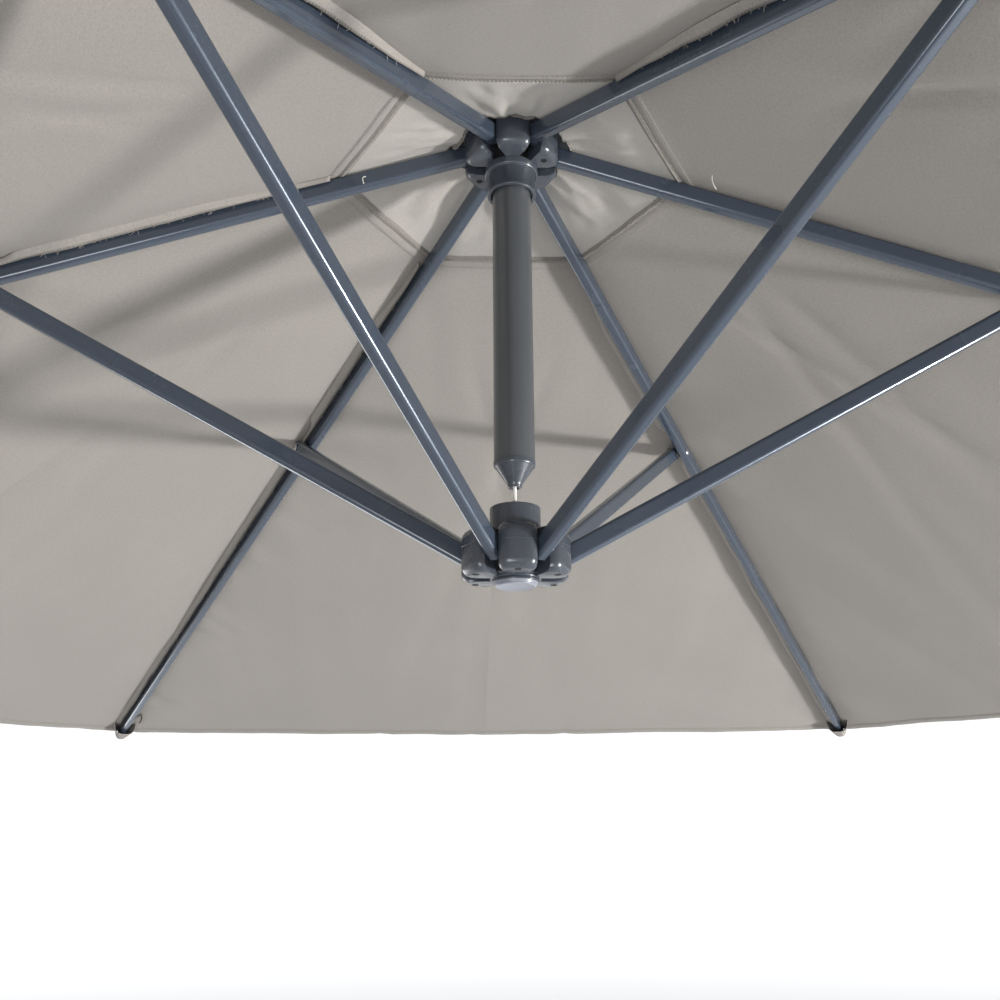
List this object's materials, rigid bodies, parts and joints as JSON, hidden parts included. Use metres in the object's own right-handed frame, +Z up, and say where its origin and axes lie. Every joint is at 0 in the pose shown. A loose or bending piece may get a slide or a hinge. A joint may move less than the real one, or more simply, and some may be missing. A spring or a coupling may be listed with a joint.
{
  "type": "cantilever parasol",
  "caption": "Cantilever garden parasol: a hexagonal canopy with ribs, struts and a sliding runner hangs by a tube from a bent mast on a weighted cross base.",
  "frame": {"origin": "on the floor under the axis of the mast", "axes": "+Y runs from the mast towards the canopy, +Z is up, +X is to the right of someone who looks from the mast to the canopy"},
  "size_m": [3.056, 3.4606, 2.5155],
  "materials": {
    "steel_paint": "satin",
    "bright_steel": "brushed",
    "hub_plastic": "gloss",
    "black_plastic": "matte",
    "bush_plastic": "matte",
    "cap_plastic": "gloss",
    "cord_fibre": "woven",
    "canopy_cloth": "woven",
    "tank_plastic": "matte",
    "sand": "rough"
  },
  "bodies": {
    "root": {"base_bar_x": "steel_paint", "base_bar_y": "steel_paint", "base_end_caps": "black_plastic", "ballast_tanks": "tank_plastic", "sand_fill": "sand", "filler_caps": "black_plastic", "mast_foot": "steel_paint", "foot_bolts": "bright_steel", "mast_lower": "steel_paint", "mast_upper": "steel_paint", "mast_sleeve": "bright_steel", "mast_screws": "bright_steel", "crank_housing_left": "hub_plastic", "crank_housing_right": "hub_plastic", "housing_screws": "bright_steel", "shaft_bushes": "bush_plastic", "hoist_cord": "cord_fibre", "arm_end_fork": "hub_plastic", "pulley_axle": "bright_steel", "tilt_screws": "bright_steel", "tilt_knob": "black_plastic"},
    "crown": {"crown_tube": "steel_paint", "cone_end": "hub_plastic", "top_hub": "hub_plastic", "hub_pins": "bright_steel", "crown_cap": "hub_plastic", "crown_knuckle": "hub_plastic"},
    "runner": {"runner_hub": "hub_plastic", "runner_cap": "cap_plastic", "runner_screws": "bright_steel", "hoist_cord_drop": "cord_fibre"},
    "crank": {"crank_shaft": "bright_steel", "cord_drum": "black_plastic", "crank_arm": "steel_paint"},
    "knob": {"crank_knob": "black_plastic"},
    "pulley": {"cord_pulley": "bush_plastic"},
    "rib_1": {"rib_1": "steel_paint", "rib_fittings_1": "bright_steel", "canopy_1": "canopy_cloth"},
    "strut_1": {"strut_1": "steel_paint"},
    "rib_2": {"rib_2": "steel_paint", "rib_fittings_2": "bright_steel", "canopy_2": "canopy_cloth"},
    "strut_2": {"strut_2": "steel_paint"},
    "rib_3": {"rib_3": "steel_paint", "rib_fittings_3": "bright_steel", "canopy_3": "canopy_cloth"},
    "strut_3": {"strut_3": "steel_paint"},
    "rib_4": {"rib_4": "steel_paint", "rib_fittings_4": "bright_steel", "canopy_4": "canopy_cloth"},
    "strut_4": {"strut_4": "steel_paint"},
    "rib_5": {"rib_5": "steel_paint", "rib_fittings_5": "bright_steel", "canopy_5": "canopy_cloth"},
    "strut_5": {"strut_5": "steel_paint"},
    "rib_6": {"rib_6": "steel_paint", "rib_fittings_6": "bright_steel", "canopy_6": "canopy_cloth"},
    "strut_6": {"strut_6": "steel_paint"}
  },
  "joints": [
    {"name": "crown_tilt", "type": "hinge", "parent": "root", "child": "crown", "pos_m": [0, 1.65329, 2.435], "axis": [1, 0, 0], "range_deg": [-5, 20]},
    {"name": "crank_turn", "type": "hinge", "parent": "root", "child": "crank", "pos_m": [0, 0.051, 1.037], "axis": [1, 0, 0], "range_deg": [0, 2102.4]},
    {"name": "knob_spin", "type": "hinge", "parent": "crank", "child": "knob", "pos_m": [0.055, 0.051, 0.917], "axis": [1, 0, 0], "continuous": true},
    {"name": "pulley_turn", "type": "hinge", "parent": "root", "child": "pulley", "pos_m": [0, 1.63729, 2.474], "axis": [1, 0, 0], "range_deg": [0, 2233.73]},
    {"name": "runner_drop", "type": "slide", "parent": "crown", "child": "runner", "axis": [0, 0, -1], "range_m": [0, 0.6245], "deforming": ["hoist_cord_drop"]},
    {"name": "rib_fold_1", "type": "hinge", "parent": "crown", "child": "rib_1", "pos_m": [0.037, 1.65329, 2.35], "axis": [0, 1, 0], "range_deg": [0, 65.4], "deforming": ["canopy_1"]},
    {"name": "strut_fold_1", "type": "hinge", "parent": "rib_1", "child": "strut_1", "pos_m": [0.51683, 1.66769, 2.19412], "axis": [0, 1, 0], "range_deg": [-120.15, 0]},
    {"name": "rib_fold_2", "type": "hinge", "parent": "crown", "child": "rib_2", "pos_m": [0.0185, 1.68533, 2.35], "axis": [-0.866, 0.5, 0], "range_deg": [0, 65.4], "deforming": ["canopy_2"]},
    {"name": "strut_fold_2", "type": "hinge", "parent": "rib_2", "child": "strut_2", "pos_m": [0.24594, 2.10807, 2.19412], "axis": [-0.866, 0.5, 0], "range_deg": [-120.15, 0]},
    {"name": "rib_fold_3", "type": "hinge", "parent": "crown", "child": "rib_3", "pos_m": [-0.0185, 1.68533, 2.35], "axis": [-0.866, -0.5, 0], "range_deg": [0, 65.4], "deforming": ["canopy_3"]},
    {"name": "strut_fold_3", "type": "hinge", "parent": "rib_3", "child": "strut_3", "pos_m": [-0.27088, 2.09367, 2.19412], "axis": [-0.866, -0.5, 0], "range_deg": [-120.15, 0]},
    {"name": "rib_fold_4", "type": "hinge", "parent": "crown", "child": "rib_4", "pos_m": [-0.037, 1.65329, 2.35], "axis": [0, -1, 0], "range_deg": [0, 65.4], "deforming": ["canopy_4"]},
    {"name": "strut_fold_4", "type": "hinge", "parent": "rib_4", "child": "strut_4", "pos_m": [-0.51683, 1.63889, 2.19412], "axis": [0, -1, 0], "range_deg": [-120.15, 0]},
    {"name": "rib_fold_5", "type": "hinge", "parent": "crown", "child": "rib_5", "pos_m": [-0.0185, 1.62124, 2.35], "axis": [0.866, -0.5, 0], "range_deg": [0, 65.4], "deforming": ["canopy_5"]},
    {"name": "strut_fold_5", "type": "hinge", "parent": "rib_5", "child": "strut_5", "pos_m": [-0.24594, 1.1985, 2.19412], "axis": [0.866, -0.5, 0], "range_deg": [-120.15, 0]},
    {"name": "rib_fold_6", "type": "hinge", "parent": "crown", "child": "rib_6", "pos_m": [0.0185, 1.62124, 2.35], "axis": [0.866, 0.5, 0], "range_deg": [0, 65.4], "deforming": ["canopy_6"]},
    {"name": "strut_fold_6", "type": "hinge", "parent": "rib_6", "child": "strut_6", "pos_m": [0.27088, 1.2129, 2.19412], "axis": [0.866, 0.5, 0], "range_deg": [-120.15, 0]}
  ],
  "couplings": [
    {"joint": "crank_turn", "follows": "rib_fold_1", "ratio": 32.131},
    {"joint": "pulley_turn", "follows": "rib_fold_1", "ratio": 34.14},
    {"joint": "runner_drop", "follows": "rib_fold_1", "m_per_rad": 0.54624},
    {"joint": "strut_fold_1", "follows": "rib_fold_1", "ratio": -1.8364},
    {"joint": "rib_fold_2", "follows": "rib_fold_1", "ratio": 1},
    {"joint": "strut_fold_2", "follows": "rib_fold_1", "ratio": -1.8364},
    {"joint": "rib_fold_3", "follows": "rib_fold_1", "ratio": 1},
    {"joint": "strut_fold_3", "follows": "rib_fold_1", "ratio": -1.8364},
    {"joint": "rib_fold_4", "follows": "rib_fold_1", "ratio": 1},
    {"joint": "strut_fold_4", "follows": "rib_fold_1", "ratio": -1.8364},
    {"joint": "rib_fold_5", "follows": "rib_fold_1", "ratio": 1},
    {"joint": "strut_fold_5", "follows": "rib_fold_1", "ratio": -1.8364},
    {"joint": "rib_fold_6", "follows": "rib_fold_1", "ratio": 1},
    {"joint": "strut_fold_6", "follows": "rib_fold_1", "ratio": -1.8364}
  ]
}
